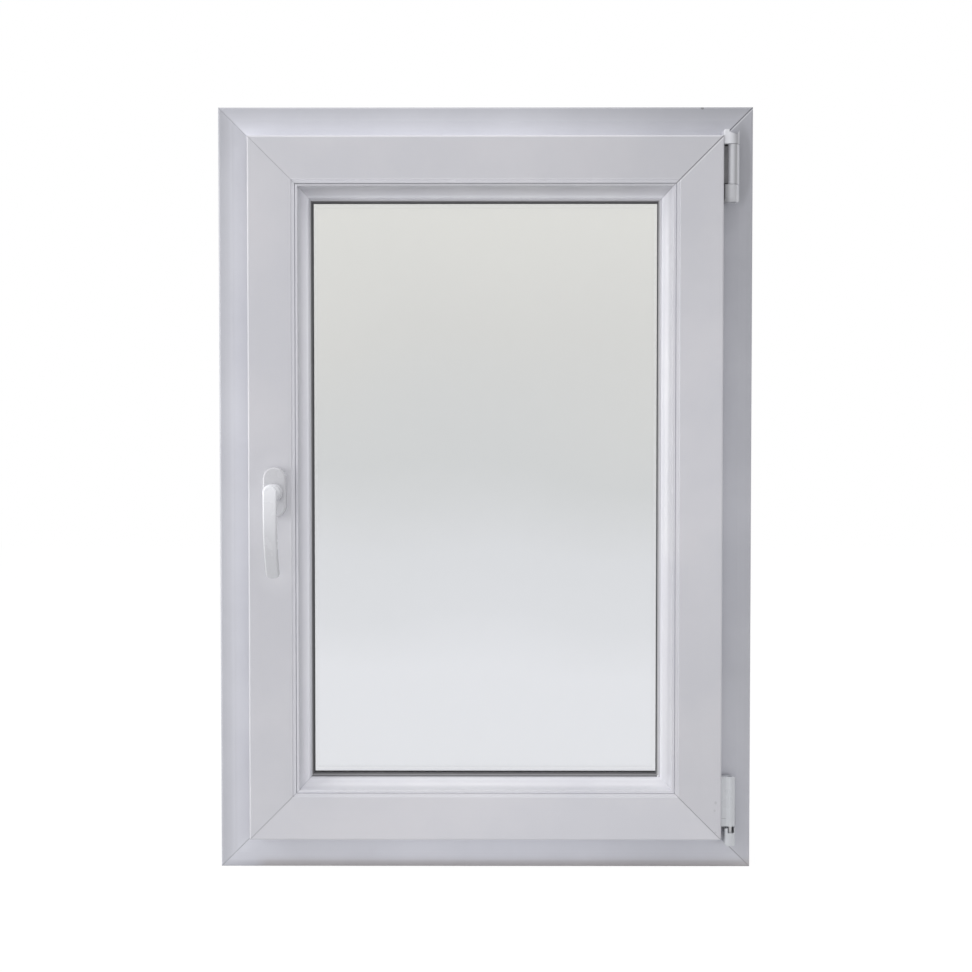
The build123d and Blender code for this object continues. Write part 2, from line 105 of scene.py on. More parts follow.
class Wiring:
    def __init__(self, tree):
        self.tree = tree
        self.column = 0

    def node(self, kind, **values):
        made = self.tree.nodes.new(kind)
        self.column += 1
        made.location = (self.column * 180, -(self.column % 4) * 160)
        for key, value in values.items():
            setattr(made, key, value)
        return made

    def link(self, source, target):
        self.tree.links.new(source, target)

    def put(self, socket, value):
        if isinstance(value, bpy.types.NodeSocket):
            self.link(value, socket)
        else:
            socket.default_value = value

    def split(self, vector):
        made = self.node("ShaderNodeSeparateXYZ")
        self.link(vector, made.inputs[0])
        return made.outputs

    def math(self, operation, first, second=0.0):
        made = self.node("ShaderNodeMath", operation=operation)
        self.put(made.inputs[0], first)
        self.put(made.inputs[1], second)
        return made.outputs[0]

    def plus(self, first, second):
        return self.math("ADD", first, second)

    def minus(self, first, second):
        return self.math("SUBTRACT", first, second)

    def times(self, first, *factors):
        for factor in factors:
            first = self.math("MULTIPLY", first, factor)
        return first

    def scale(self, colour, factor):
        made = self.node("ShaderNodeVectorMath", operation="SCALE")
        self.link(colour, made.inputs[0])
        self.link(factor, made.inputs["Scale"])
        return made.outputs[0]

    def mixColour(self, factor, first, second):
        made = self.node("ShaderNodeMix", data_type="RGBA")
        self.put(made.inputs["Factor"], factor)
        self.put(made.inputs[6], first)
        self.put(made.inputs[7], second)
        return made.outputs[2]

    def noise(self, vector, scale, detail=3.0, roughness=0.5):
        made = self.node("ShaderNodeTexNoise")
        self.put(made.inputs["Vector"], vector)
        self.put(made.inputs["Scale"], scale)
        made.inputs["Detail"].default_value = detail
        made.inputs["Roughness"].default_value = roughness
        return made.outputs["Fac"]

    def ramp(self, value, low, high, lowOut=0.0, highOut=1.0, smooth=True):
        made = self.node("ShaderNodeMapRange")
        made.interpolation_type = "SMOOTHSTEP" if smooth else "LINEAR"
        self.put(made.inputs["Value"], value)
        self.put(made.inputs["From Min"], low)
        self.put(made.inputs["From Max"], high)
        self.put(made.inputs["To Min"], lowOut)
        self.put(made.inputs["To Max"], highOut)
        return made.outputs["Result"]

    def band(self, value, middle, half, soft):
        apart = self.math("ABSOLUTE", self.minus(value, middle))
        return self.ramp(apart, half, half + soft, 1.0, 0.0)

    def spot(self, place, centre, size, core=0.5):
        # soft round mark seen from the room, full inside its core and gone beyond its rim
        rim = 1.2
        split = self.split(place)
        across = self.math("DIVIDE", self.minus(split["X"], centre[0]), size[0])
        along = self.math("DIVIDE", self.minus(split["Z"], centre[1]), size[1])
        square = self.plus(self.times(across, across), self.times(along, along))
        return self.ramp(square, core, rim, 1.0, 0.0)


# Shared effect: the fine uneven skin of plastic, lacquer, rubber and steel
skinSettings = {
    "mottleDetail": 4,
    "grainScale": 900, "grainDetail": 2,
    "scuffScale": 60, "scuffDetail": 6, "scuffBreakUp": 0.7, "scuffBorders": (0.68, 0.76),
}
noiseReach = (0.3, 0.7)      # a noise stays mostly between these


def makeSkinGroup(settings):
    tree = newTree("fineSkin")
    addSocket(tree, "Vector", "NodeSocketVector", "INPUT")
    addSocket(tree, "Mottle Scale", "NodeSocketFloat", "INPUT", 9.0)
    addSocket(tree, "Mottle", "NodeSocketFloat", "OUTPUT")
    addSocket(tree, "Grain", "NodeSocketFloat", "OUTPUT")
    addSocket(tree, "Scuffs", "NodeSocketFloat", "OUTPUT")
    w = Wiring(tree)
    given = w.node("NodeGroupInput").outputs
    result = w.node("NodeGroupOutput").inputs
    place = given["Vector"]
    mottle = w.noise(place, given["Mottle Scale"], settings["mottleDetail"])
    grain = w.noise(place, settings["grainScale"], settings["grainDetail"])
    scuffs = w.noise(
        place, settings["scuffScale"], settings["scuffDetail"], settings["scuffBreakUp"],
    )
    w.link(mottle, result["Mottle"])
    w.link(grain, result["Grain"])
    w.link(w.ramp(scuffs, *settings["scuffBorders"]), result["Scuffs"])
    return tree


# Shared effect: the 45 degree lines of the welded corners with a painted highlight beside them,
# and the faint draw lines of the extrusion, which follow the profile round the window. It also
# tells the four sides apart.
seamSettings = {
    "sizes": {"Half Width": 0.35, "Half Height": 0.5, "Seam Width": 0.0006, "Line Scale": 1400.0},
    "corners": {"Top Left": 0.2, "Top Right": 0.9, "Bottom Left": 0.4, "Bottom Right": 0.55},
    "seamHighlightShift": -2.0,      # from the seam to the painted highlight beside it, in seam widths
    "lineDetail": 2.0,
}


def makeSeamGroup(settings):
    tree = newTree("weldSeams")
    addSocket(tree, "Vector", "NodeSocketVector", "INPUT")
    for name, value in {**settings["sizes"], **settings["corners"]}.items():
        addSocket(tree, name, "NodeSocketFloat", "INPUT", value)
    for name in ("Line", "Seam Highlight", "Draw Lines", "Edge Distance", "Left", "Right", "Top", "Bottom"):
        addSocket(tree, name, "NodeSocketFloat", "OUTPUT")
    w = Wiring(tree)
    given = w.node("NodeGroupInput").outputs
    result = w.node("NodeGroupOutput").inputs
    split = w.split(given["Vector"])
    fromSide = w.minus(given["Half Width"], w.math("ABSOLUTE", split["X"]))
    rise = w.minus(split["Z"], given["Half Height"])
    fromEnd = w.minus(given["Half Height"], w.math("ABSOLUTE", rise))
    apart = w.minus(fromSide, fromEnd)
    right = w.math("GREATER_THAN", split["X"], 0.0)
    top = w.math("GREATER_THAN", rise, 0.0)
    left, bottom = w.minus(1.0, right), w.minus(1.0, top)
    strength = 0.0
    for corner in settings["corners"]:
        sideways = left if "Left" in corner else right
        upwards = top if "Top" in corner else bottom
        here = w.times(given[corner], w.times(sideways, upwards))
        strength = w.plus(here, strength)
    seam = w.ramp(w.math("ABSOLUTE", apart), 0.0, given["Seam Width"], 1.0, 0.0)
    beside = w.minus(apart, w.times(given["Seam Width"], settings["seamHighlightShift"]))
    seamHighlight = w.ramp(w.math("ABSOLUTE", beside), 0.0, given["Seam Width"], 1.0, 0.0)
    nearest = w.math("MINIMUM", fromSide, fromEnd)
    profile = w.node("ShaderNodeCombineXYZ")
    w.link(w.times(nearest, given["Line Scale"]), profile.inputs["X"])
    w.link(w.times(split["Y"], given["Line Scale"]), profile.inputs["Y"])
    w.link(w.times(seam, strength), result["Line"])
    w.link(w.times(seamHighlight, strength), result["Seam Highlight"])
    w.link(w.noise(profile.outputs[0], 1.0, settings["lineDetail"]), result["Draw Lines"])
    w.link(nearest, result["Edge Distance"])
    onUpright = w.math("LESS_THAN", apart, 0.0)
    onLevel = w.minus(1.0, onUpright)
    w.link(w.times(onUpright, left), result["Left"])
    w.link(w.times(onUpright, right), result["Right"])
    w.link(w.times(onLevel, top), result["Top"])
    w.link(w.times(onLevel, bottom), result["Bottom"])
    return tree


skinGroup = makeSkinGroup(skinSettings)
seamGroup = makeSeamGroup(seamSettings)


def useSkin(w, place, mottleScale):
    made = w.node("ShaderNodeGroup", node_tree=skinGroup)
    w.put(made.inputs["Vector"], place)
    w.put(made.inputs["Mottle Scale"], mottleScale)
    return made.outputs


def useSeams(w, place, **values):
    made = w.node("ShaderNodeGroup", node_tree=seamGroup)
    sizes = {"Vector": place, "Half Width": halfWidth, "Half Height": halfHeight}
    for key, value in {**sizes, **values}.items():
        w.put(made.inputs[key], value)
    return made.outputs


def startMaterial(name):
    material = bpy.data.materials.new(name)
    material.use_nodes = True
    material.node_tree.nodes.clear()
    w = Wiring(material.node_tree)
    output = w.node("ShaderNodeOutputMaterial")
    shader = w.node("ShaderNodeBsdfPrincipled")
    w.link(shader.outputs[0], output.inputs["Surface"])
    place = w.node("ShaderNodeTexCoord").outputs["Object"]
    return material, w, shader, place


def darker(colour, share):
    return tuple(share * part for part in colour[:3]) + (1,)


def uneven(w, skin, roughness, swing):
    return w.ramp(skin["Mottle"], *noiseReach, roughness - swing[0], roughness + swing[1])


# A finish says how strong its grain is and how deep, in metres
def addGrain(w, shader, height, finish):
    bump = w.node("ShaderNodeBump")
    bump.inputs["Strength"].default_value = finish["grainStrength"]
    bump.inputs["Distance"].default_value = finish["grainDepth"]
    w.link(height, bump.inputs["Height"])
    w.link(bump.outputs[0], shader.inputs["Normal"])


# White window plastic, for frame, sash and beads. The tones are painted light and shade: how pale
# each side looks at a distance in metres from the outer perimeter, and the fades, also painted
# light and shade, how pale it looks along its length, by X on the level sides and by Z on the
# upright ones. Marks, painted shade and patches of painted light have a centre in X and Z, a size
# and a strength.
plasticSettings = {
    "frame": {
        "colour": (0.585, 0.59, 0.635, 1), "cool": (0.54, 0.545, 0.59, 1), "roughness": 0.42,
        # tones: painted light and shade across each side
        "tones": {
            "Left": [(0.0, 0.86), (0.012, 0.97), (0.023, 1.17), (0.034, 1.17)],
            "Right": [(0.0, 0.86), (0.017, 0.90), (0.034, 0.97)],
            "Top": [(0.0, 0.84), (0.004, 0.91), (0.017, 1.05), (0.026, 1.24), (0.036, 1.56)],
            "Bottom": [(0.0, 0.94), (0.005, 1.02), (0.0105, 1.20), (0.034, 1.28)],
        },
        # fades: painted light and shade along each side
        "fades": {
            "Left": [(0.0, 0.95), (0.62, 0.96), (0.82, 0.92), (0.95, 0.88), (1.0, 0.87)],
            "Right": [
                (0.0, 1.02), (0.09, 1.03), (0.22, 0.94), (0.48, 1.0),
                (0.80, 0.87), (0.90, 0.90), (1.0, 0.90),
            ],
            "Top": [(-0.35, 1.0), (0.03, 0.99), (0.20, 0.82), (0.28, 0.77), (0.35, 0.75)],
            "Bottom": [
                (-0.35, 0.97), (-0.25, 0.88), (-0.10, 0.97), (0.02, 1.02),
                (0.15, 0.96), (0.25, 0.87), (0.35, 0.85),
            ],
        },
        "marksAndShade": [
            ((0.2835, 0.9985), (0.0022, 0.0022), 0.7),      # nick in the head's edge
            ((0.3335, 0.925), (0.0150, 0.0560), 0.20),      # painted shadow of the upper hinge on the jamb
        ],
        "paintedLight": [],
        "sillShade": 0.55,      # how much painted shade, a warm grey, lies on the sill's lower edge
        "seams": {"Top Left": 0.25, "Top Right": 1.0, "Bottom Left": 0.42, "Bottom Right": 0.6},
    },
    "sash": {
        "colour": (0.62, 0.615, 0.645, 1), "cool": (0.585, 0.585, 0.62, 1), "roughness": 0.45,
        # tones and fades: painted light and shade
        "tones": {
            "Left": [(0.0, 0.99), (0.097, 0.99), (0.0985, 1.22), (0.1025, 1.22)],
            "Right": [(0.0, 1.05), (0.097, 1.05), (0.0985, 1.17), (0.1025, 1.17)],
            "Top": [
                (0.0, 1.14), (0.0425, 1.14), (0.0440, 0.98),
                (0.096, 0.98), (0.0985, 1.22), (0.1025, 1.18),
            ],
            "Bottom": [(0.0, 1.12), (0.097, 1.12), (0.0985, 1.24), (0.1025, 1.24)],
        },
        "fades": {
            "Right": [
                (0.0, 0.93), (0.25, 0.95), (0.45, 1.0), (0.65, 1.0), (0.85, 0.94), (1.0, 0.93),
            ],
            "Top": [(-0.35, 1.02), (0.05, 1.02), (0.20, 0.97), (0.35, 0.93)],
            "Bottom": [(-0.35, 0.91), (-0.20, 0.94), (0.0, 1.0), (0.15, 0.99), (0.35, 0.94)],
        },
        "marksAndShade": [
            # specks beside the lower hinge
            ((0.3013, 0.0904), (0.0017, 0.0022), 0.16),
            ((0.3000, 0.0800), (0.0016, 0.0020), 0.13),
            ((0.3013, 0.0514), (0.0018, 0.0016), 0.13),
        ],
        "paintedLight": [((-0.270, 0.455), (0.045, 0.095), 0.42)],      # painted light, paler round the handle
        "sillShade": 0.0,
        "seams": {"Top Left": 0.25, "Top Right": 1.0, "Bottom Left": 0.45, "Bottom Right": 0.55},
    },
    "bead": {
        "colour": (0.64, 0.64, 0.67, 1), "cool": (0.60, 0.60, 0.64, 1), "roughness": 0.35,
        # tones: painted light and shade, palest near the glass
        "tones": {
            "Left": [(0.0, 1.08), (0.107, 1.08), (0.113, 1.26), (0.119, 1.42)],
            "Right": [
                (0.0, 1.40), (0.1035, 1.40), (0.1042, 1.06),
                (0.110, 0.99), (0.115, 1.12), (0.119, 1.34),
            ],
            "Top": [(0.0, 0.98), (0.104, 0.88), (0.110, 0.84), (0.115, 0.95), (0.119, 1.30)],
            "Bottom": [(0.0, 1.40), (0.1035, 1.40), (0.1042, 1.15), (0.113, 1.15), (0.119, 1.30)],
        },
        "fades": {},
        "marksAndShade": [],
        "paintedLight": [],
        "sillShade": 0.0,
        "seams": {"Top Left": 0.12, "Top Right": 0.30, "Bottom Left": 0.35, "Bottom Right": 0.0},
    },
}


# What the three plastics share
plasticFinish = {
    "mottleScale": 7.0, "mottleBorders": (0.35, 0.65),
    "lineContrast": 0.015,
    "seamWidth": 0.0013, "seamShare": 0.85, "seamDark": (0.10, 0.10, 0.11, 1),
    "seamHighlightFrom": 0.65,      # painted highlight, only beside the strongest seam
    "seamHighlightShare": 0.8, "seamHighlightPale": (0.92, 0.92, 0.94, 1),
    "scuffShare": 0.10, "scuffGrey": (0.40, 0.40, 0.41, 1), "scuffRough": 0.12,
    "roughSwing": (0.05, 0.07),
    "paintedLightCore": 0.05, "paintedLightPale": (0.80, 0.80, 0.83, 1),
    "sillShadeRise": (0.001, 0.016), "sillShadeStart": (-0.31, -0.285),
    "sillShadeGrey": (0.42, 0.385, 0.37, 1),
    "markAndShadeDark": (0.10, 0.10, 0.10, 1),
    "markDepth": 0.004,      # marks and painted shade stay this close to the frame's front
    "grainStrength": 0.12, "grainDepth": 0.0002,
}


# Tone that changes with a value, from pairs of value and tone. The curve holds half of each
# tone, because it ends at 1 and tones go up to 2.
def toneCurve(w, value, stops):
    start = stops[0][0]
    reach = stops[-1][0] - start
    curve = w.node("ShaderNodeFloatCurve")
    w.link(w.math("DIVIDE", w.minus(value, start), reach), curve.inputs["Value"])
    points = curve.mapping.curves[0].points
    points[0].location = (0.0, stops[0][1] / 2)
    points[-1].location = (1.0, stops[-1][1] / 2)
    for distance, tone in stops[1:-1]:
        points.new((distance - start) / reach, tone / 2)
    for point in points:
        point.handle_type = "VECTOR"
    curve.mapping.update()
    return w.times(curve.outputs["Value"], 2.0)


def makePlastic(name, settings, finish=plasticFinish):
    material, w, shader, place = startMaterial(name)
    skin = useSkin(w, place, finish["mottleScale"])
    seams = useSeams(w, place, **{"Seam Width": finish["seamWidth"]}, **settings["seams"])
    split = w.split(place)
    roomSide = w.math("LESS_THAN", split["Y"], 0.0)

    # painted light and shade, across and along each side
    tone = 0.0
    for side, stops in settings["tones"].items():
        curve = toneCurve(w, seams["Edge Distance"], stops)
        if side in settings["fades"]:
            along = split["Z" if side in ("Left", "Right") else "X"]
            curve = w.times(curve, toneCurve(w, along, settings["fades"][side]))
        tone = w.plus(w.times(curve, seams[side]), tone)
    tone = w.plus(1.0, w.times(w.minus(tone, 1.0), roomSide))
    contrast = finish["lineContrast"]
    lines = w.ramp(
        seams["Draw Lines"], *noiseReach, 1 - contrast, 1 + contrast, smooth=False,
    )
    mottle = w.ramp(skin["Mottle"], *finish["mottleBorders"])
    colour = w.mixColour(mottle, settings["colour"], settings["cool"])
    colour = w.scale(colour, w.times(tone, lines))

    seam = w.times(seams["Line"], finish["seamShare"])
    colour = w.mixColour(seam, colour, finish["seamDark"])
    # painted highlight beside the seam
    seamHighlight = w.ramp(seams["Seam Highlight"], finish["seamHighlightFrom"], 1.0, 0.0, finish["seamHighlightShare"])
    colour = w.mixColour(seamHighlight, colour, finish["seamHighlightPale"])
    scuffs = w.times(skin["Scuffs"], finish["scuffShare"])
    colour = w.mixColour(scuffs, colour, finish["scuffGrey"])
    # patches of painted light
    for centre, size, strength in settings["paintedLight"]:
        paintedLightShare = w.times(w.spot(place, centre, size, finish["paintedLightCore"]), strength, roomSide)
        colour = w.mixColour(paintedLightShare, colour, finish["paintedLightPale"])
    # painted shade along the sill's lower edge
    if settings["sillShade"]:
        low = w.ramp(split["Z"], *finish["sillShadeRise"], settings["sillShade"], 0.0)
        sillShade = w.times(low, w.ramp(split["X"], *finish["sillShadeStart"]), roomSide)
        colour = w.mixColour(sillShade, colour, finish["sillShadeGrey"])
    onFace = w.math("LESS_THAN", split["Y"], roomFace + finish["markDepth"])
    # marks, and painted shade such as the shadow beside the upper hinge
    for centre, size, strength in settings["marksAndShade"]:
        markAndShade = w.times(w.spot(place, centre, size), strength, onFace)
        colour = w.mixColour(markAndShade, colour, finish["markAndShadeDark"])
    w.link(colour, shader.inputs["Base Color"])

    rough = uneven(w, skin, settings["roughness"], finish["roughSwing"])
    rough = w.plus(rough, w.times(skin["Scuffs"], finish["scuffRough"]))
    w.link(rough, shader.inputs["Roughness"])
    addGrain(w, shader, w.plus(skin["Grain"], seams["Draw Lines"]), finish)
    return material


# Grey seal rubber. The lip on the glass has a pale foot at the bead, dark borders and a paler
# middle band. How dark each side is, and how strong its pale middle band, is painted shade and
# painted light. Places on it are in metres from the outer perimeter.
rubberSettings = {
    "dark": (0.13, 0.13, 0.14, 1),
    "light": (0.21, 0.21, 0.225, 1),
    "paleMiddle": (0.46, 0.46, 0.47, 1),
    "foot": (0.60, 0.60, 0.63, 1),
    "mottleScale": 30.0, "roughness": 0.6, "grainStrength": 0.2, "grainDepth": 0.0002,
    "lipStart": 0.119, "footSoft": 0.0003,
    "lipMiddle": 0.1217, "lipHalf": 0.0007, "lipSoft": 0.0009,
    "sides": {
        # how dark the rubber is on each side (painted shade), how wide its pale foot is and how
        # pale its middle (painted light)
        "Left": (0.32, 0.0017, 0.20), "Right": (0.42, 0.0020, 1.0),
        "Top": (0.42, 0.0022, 0.35), "Bottom": (0.50, 0.0004, 0.50),
    },
    "blob": ((0.2284, 0.1200), (0.0012, 0.0015)),      # white drop in the lower right corner
    "blobPale": (0.85, 0.85, 0.86, 1),
}


def makeRubber(settings):
    material, w, shader, place = startMaterial("sealRubber")
    skin = useSkin(w, place, settings["mottleScale"])
    seams = useSeams(w, place)
    distance = seams["Edge Distance"]
    shade, footWidth, paleMiddleShare = 0.0, 0.0, 0.0
    for side, (tone, width, share) in settings["sides"].items():
        shade = w.plus(w.times(seams[side], tone), shade)
        footWidth = w.plus(w.times(seams[side], width), footWidth)
        paleMiddleShare = w.plus(w.times(seams[side], share), paleMiddleShare)
    colour = w.mixColour(skin["Mottle"], settings["dark"], settings["light"])
    colour = w.scale(colour, shade)
    middle = w.band(distance, settings["lipMiddle"], settings["lipHalf"], settings["lipSoft"])
    colour = w.mixColour(w.times(middle, paleMiddleShare), colour, settings["paleMiddle"])
    fromFoot = w.math("ABSOLUTE", w.minus(distance, settings["lipStart"]))
    nearFoot = w.ramp(w.minus(fromFoot, footWidth), 0.0, settings["footSoft"], 1.0, 0.0)
    colour = w.mixColour(nearFoot, colour, settings["foot"])
    colour = w.mixColour(w.spot(place, *settings["blob"]), colour, settings["blobPale"])
    w.link(colour, shader.inputs["Base Color"])
    shader.inputs["Roughness"].default_value = settings["roughness"]
    addGrain(w, shader, skin["Grain"], settings)
    return material


# White lacquered metal of the handle and hinges, and the plastic of the hinge caps. The tones are
# painted highlights, reflections and shade, and run along one axis, in metres: paler at the grip's
# top and darker towards its tip.
lacquerSettings = {
    "handle": {
        "colour": (0.60, 0.605, 0.63, 1), "roughness": 0.26, "coat": 0.5, "axis": "Z",
        # painted highlight, palest at the top of the grip
        "tones": [(0.385, 0.96), (0.415, 0.99), (0.457, 1.18), (0.511, 1.40)],
        "marksAndShade": [],
    },
    "rosette": {
        "colour": (0.585, 0.585, 0.61, 1), "roughness": 0.28, "coat": 0.4, "axis": "Z",
        # painted light, paler at the foot
        "tones": [(0.46, 1.06), (0.497, 1.02), (0.53, 1.0)],
        "marksAndShade": [],
    },
    "hingeBarrel": {
        "colour": (0.55, 0.555, 0.58, 1), "roughness": 0.30, "coat": 0.3, "axis": "X",
        # painted reflection: bright and dark bands across the barrel
        "tones": [
            (0.3085, 0.9), (0.3150, 0.9), (0.3188, 1.12), (0.3212, 1.0),
            (0.3250, 0.58), (0.3278, 1.36), (0.3310, 0.9),
        ],
        "marksAndShade": [],
    },
    "hingeKnuckle": {
        "colour": (0.575, 0.59, 0.615, 1), "roughness": 0.30, "coat": 0.3, "axis": "X",
        # painted highlight on the knuckle
        "tones": [(0.3085, 1.0), (0.3150, 1.0), (0.3165, 1.10), (0.3215, 1.02), (0.3280, 1.0)],
        "marksAndShade": [((0.3125, 0.0690), (0.0034, 0.0006), 0.35)],      # short scored line
    },
    "topCap": {
        "colour": (0.56, 0.565, 0.59, 1), "roughness": 0.36, "coat": 0.2, "axis": "X",
        # painted highlight on the cap's ear and painted shade in its notch
        "tones": [
            (0.3085, 1.32), (0.3160, 1.42), (0.3200, 1.18),
            (0.3262, 0.66), (0.3288, 1.12), (0.3310, 1.0),
        ],
        "marksAndShade": [],
    },
    "plainCap": {
        "colour": (0.57, 0.575, 0.60, 1), "roughness": 0.38, "coat": 0.2, "axis": "X",
        # painted shade beside the sash and a painted highlight on the facet
        "tones": [
            (0.3085, 0.35), (0.3132, 0.5), (0.3178, 0.95),
            (0.3248, 0.92), (0.3275, 1.40), (0.3305, 0.85),
        ],
        "marksAndShade": [],
    },
    "drainCap": {
        "colour": (0.58, 0.58, 0.60, 1), "roughness": 0.40, "coat": 0.1, "axis": "Z",
        # painted shade, darker towards the floor
        "tones": [(0.0, 0.94), (0.03, 1.02)],
        "marksAndShade": [],
    },
}


# What all of them share
lacquerFinish = {
    "mottleScale": 40.0, "mottleShare": 0.95,
    "scuffShare": 0.08, "scuffGrey": (0.42, 0.42, 0.43, 1), "scuffRough": 0.1,
    "roughSwing": (0.04, 0.05), "coatRoughness": 0.12,
    "markAndShadeDark": (0.12, 0.12, 0.12, 1),
    "grainStrength": 0.1, "grainDepth": 0.0001,
}


def makeLacquer(name, settings, finish=lacquerFinish):
    material, w, shader, place = startMaterial(name)
    skin = useSkin(w, place, finish["mottleScale"])
    shade = darker(settings["colour"], finish["mottleShare"])
    colour = w.mixColour(skin["Mottle"], settings["colour"], shade)
    along = w.split(place)[settings["axis"]]
    # painted highlights and shade along the axis
    colour = w.scale(colour, toneCurve(w, along, settings["tones"]))
    scuffs = w.times(skin["Scuffs"], finish["scuffShare"])
    colour = w.mixColour(scuffs, colour, finish["scuffGrey"])
    for centre, size, strength in settings["marksAndShade"]:
        markAndShade = w.times(w.spot(place, centre, size), strength)
        colour = w.mixColour(markAndShade, colour, finish["markAndShadeDark"])
    w.link(colour, shader.inputs["Base Color"])
    rough = uneven(w, skin, settings["roughness"], finish["roughSwing"])
    rough = w.plus(rough, w.times(skin["Scuffs"], finish["scuffRough"]))
    w.link(rough, shader.inputs["Roughness"])
    shader.inputs["Coat Weight"].default_value = settings["coat"]
    shader.inputs["Coat Roughness"].default_value = finish["coatRoughness"]
    addGrain(w, shader, skin["Grain"], finish)
    return material


# Near-black finish of the pad behind the lower hinge's pin: painted shade for the dark gap there
gapShadeBlackSettings = {
    "dark": (0.012, 0.012, 0.013, 1), "light": (0.03, 0.03, 0.032, 1),
    "mottleScale": 50.0, "roughness": 0.8, "roughSwing": (0.05, 0.10),
    "grainStrength": 0.3, "grainDepth": 0.0002,
}


def makeGapShadeBlack(settings):
    material, w, shader, place = startMaterial("gapShadeBlack")
    skin = useSkin(w, place, settings["mottleScale"])
    colour = w.mixColour(skin["Mottle"], settings["dark"], settings["light"])
    w.link(colour, shader.inputs["Base Color"])
    rough = uneven(w, skin, settings["roughness"], settings["roughSwing"])
    w.link(rough, shader.inputs["Roughness"])
    addGrain(w, shader, skin["Grain"], settings)
    return material


# Zinc-plated pins, spindle and spacer bar, and the dark arm of the upper hinge, whose dark steel
# is partly painted shade of the gap beside the barrel; the same dark paints the shade in the
# spacer bar's holes
steelSettings = {
    "zinc": {"colour": (0.55, 0.55, 0.56, 1), "roughness": 0.35},
    "dark": {"colour": (0.15, 0.15, 0.157, 1), "roughness": 0.45},
}
steelFinish = {
    "mottleScale": 60.0, "mottleShare": 0.7, "metallic": 0.9, "roughSwing": (0.06, 0.1),
}


def makeSteel(name, settings, finish=steelFinish):
    material, w, shader, place = startMaterial(name)
    skin = useSkin(w, place, finish["mottleScale"])
    shade = darker(settings["colour"], finish["mottleShare"])
    w.link(w.mixColour(skin["Mottle"], settings["colour"], shade), shader.inputs["Base Color"])
    shader.inputs["Metallic"].default_value = finish["metallic"]
    rough = uneven(w, skin, settings["roughness"], finish["roughSwing"])
    w.link(rough, shader.inputs["Roughness"])
    return material


# Window glass: clear, with a painted reflection, a soft grey gradient that is palest at the foot,
# and a thin painted highlight beside the gasket
glassSettings = {
    "reflectionTints": [
        # share of the pane's height, colour
        (0.20, (0.868, 0.875, 0.893, 1)),
        (0.29, (0.838, 0.846, 0.862, 1)),
        (0.40, (0.828, 0.836, 0.850, 1)),
        (0.53, (0.786, 0.794, 0.797, 1)),
        (0.72, (0.808, 0.809, 0.800, 1)),
        (0.95, (0.840, 0.840, 0.824, 1)),
    ],
    "paneFoot": 0.1, "paneHead": 0.9,
    "cloudScale": 2.2, "cloudDrift": 0.25,      # how far the painted reflection's borders wander up and down
    "rim": (0.1254, 0.0007, 0.0006),      # painted highlight, from the outer perimeter: middle, half width, softness
    "rimHighlightShare": 0.5, "rimHighlightPale": (0.96, 0.96, 0.97, 1),
}


def makeGlass(settings):
    material, w, shader, place = startMaterial("windowGlass")
    cloud = w.noise(place, settings["cloudScale"], 1.0)
    drift = w.times(w.minus(cloud, 0.5), settings["cloudDrift"])
    height = w.plus(w.split(place)["Z"], drift)
    # painted reflection: a grey gradient up the pane
    reflectionTint = w.node("ShaderNodeValToRGB")
    share = w.ramp(height, settings["paneFoot"], settings["paneHead"], smooth=False)
    w.link(share, reflectionTint.inputs["Fac"])
    stops = reflectionTint.color_ramp.elements
    reflectionTints = settings["reflectionTints"]
    for stop, (position, colour) in zip((stops[0], stops[1]), (reflectionTints[0], reflectionTints[-1])):
        stop.position, stop.color = position, colour
    for position, colour in reflectionTints[1:-1]:
        stops.new(position).color = colour
    # painted highlight beside the gasket
    rim = w.band(useSeams(w, place)["Edge Distance"], *settings["rim"])
    rim = w.times(rim, settings["rimHighlightShare"])
    colour = w.mixColour(rim, reflectionTint.outputs["Color"], settings["rimHighlightPale"])
    w.link(colour, shader.inputs["Base Color"])
    shader.inputs["Roughness"].default_value = 0.0
    shader.inputs["IOR"].default_value = 1.5
    shader.inputs["Transmission Weight"].default_value = 1.0
    return material


framePlastic = makePlastic("framePlastic", plasticSettings["frame"])
sashPlastic = makePlastic("sashPlastic", plasticSettings["sash"])
beadPlastic = makePlastic("beadPlastic", plasticSettings["bead"])
sealRubber = makeRubber(rubberSettings)
handleLacquer = makeLacquer("handleLacquer", lacquerSettings["handle"])
rosetteLacquer = makeLacquer("rosetteLacquer", lacquerSettings["rosette"])
barrelLacquer = makeLacquer("hingeBarrelLacquer", lacquerSettings["hingeBarrel"])
knuckleLacquer = makeLacquer("hingeKnuckleLacquer", lacquerSettings["hingeKnuckle"])
topCapPlastic = makeLacquer("topCapPlastic", lacquerSettings["topCap"])
capPlastic = makeLacquer("capPlastic", lacquerSettings["plainCap"])
drainPlastic = makeLacquer("drainPlastic", lacquerSettings["drainCap"])
gapShadeBlack = makeGapShadeBlack(gapShadeBlackSettings)
zincSteel = makeSteel("zincSteel", steelSettings["zinc"])
darkSteelAndShade = makeSteel("darkSteelAndShade", steelSettings["dark"])
windowGlass = makeGlass(glassSettings)
print("materials ready")

